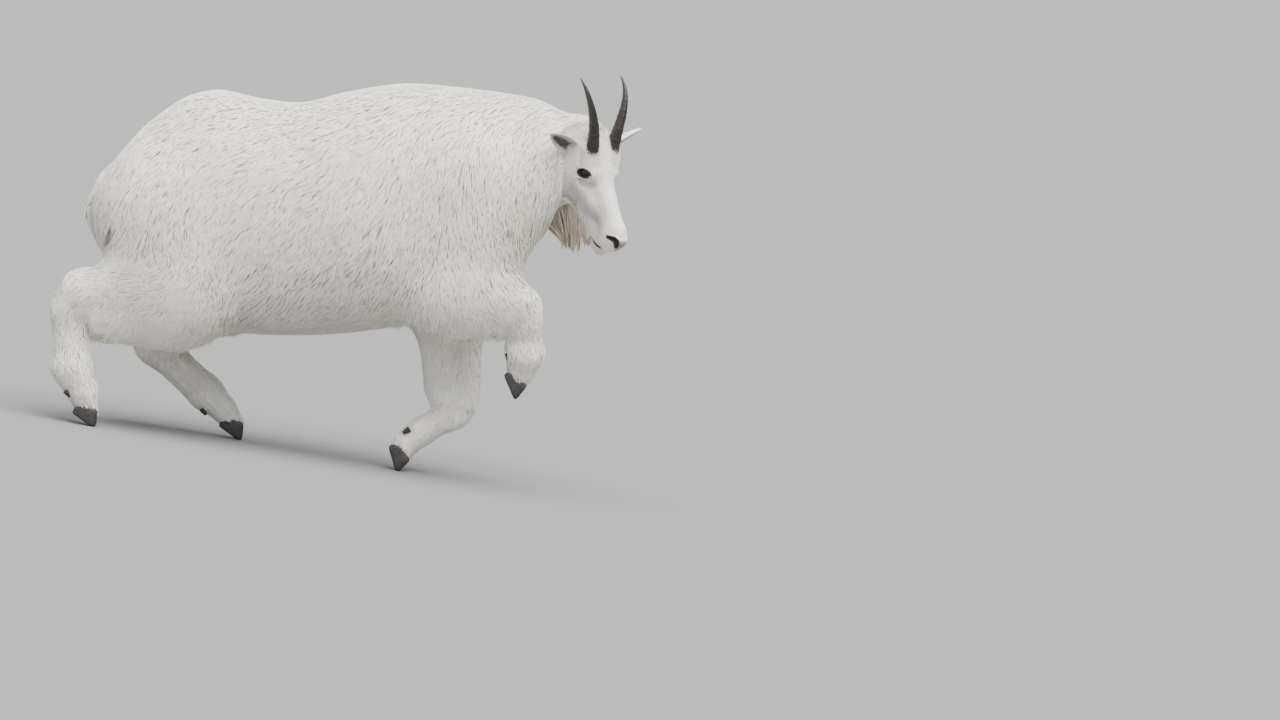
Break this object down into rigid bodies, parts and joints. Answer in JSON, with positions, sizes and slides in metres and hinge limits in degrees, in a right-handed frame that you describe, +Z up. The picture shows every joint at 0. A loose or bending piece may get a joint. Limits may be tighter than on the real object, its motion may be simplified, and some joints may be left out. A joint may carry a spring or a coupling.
{
  "type": "mountain goat, life-size still model",
  "caption": "Still life-size mountain goat in short summer coat, one foreleg lifted and head turned to its right, standing on three hoof tips.",
  "frame": {"origin": "centre of the overall footprint, on the floor the three hooves stand on", "axes": "+X towards the head along the body, +Y to the animal's left, +Z up"},
  "size_m": [1.327, 0.3691, 1.029],
  "materials": {
    "coat": "matt short hair",
    "beard_hair": "matt long hair",
    "horn": "satin ridged keratin",
    "hoof": "matt keratin",
    "eye": "wet gloss",
    "bare_skin": "satin dark skin of nostrils, lips and lids"
  },
  "bodies": {
    "root": {"trunk": "coat", "neck": "coat", "head": "coat", "tail": "coat", "beard": "beard_hair", "ear_right": "coat", "ear_left": "coat", "eye_right": "eye", "eye_left": "eye", "horn_right": "horn", "horn_left": "horn", "hind_leg_right": "coat", "hind_leg_left": "coat", "fore_leg_right": "coat", "fore_leg_left": "coat", "claw_hind_right_right": "hoof", "dewclaw_hind_right_right": "hoof", "claw_hind_right_left": "hoof", "dewclaw_hind_right_left": "hoof", "claw_hind_left_right": "hoof", "dewclaw_hind_left_right": "hoof", "claw_hind_left_left": "hoof", "dewclaw_hind_left_left": "hoof", "claw_fore_right_right": "hoof", "dewclaw_fore_right_right": "hoof", "claw_fore_right_left": "hoof", "dewclaw_fore_right_left": "hoof", "claw_fore_left_right": "hoof", "dewclaw_fore_left_right": "hoof", "claw_fore_left_left": "hoof", "dewclaw_fore_left_left": "hoof"}
  },
  "joints": []
}
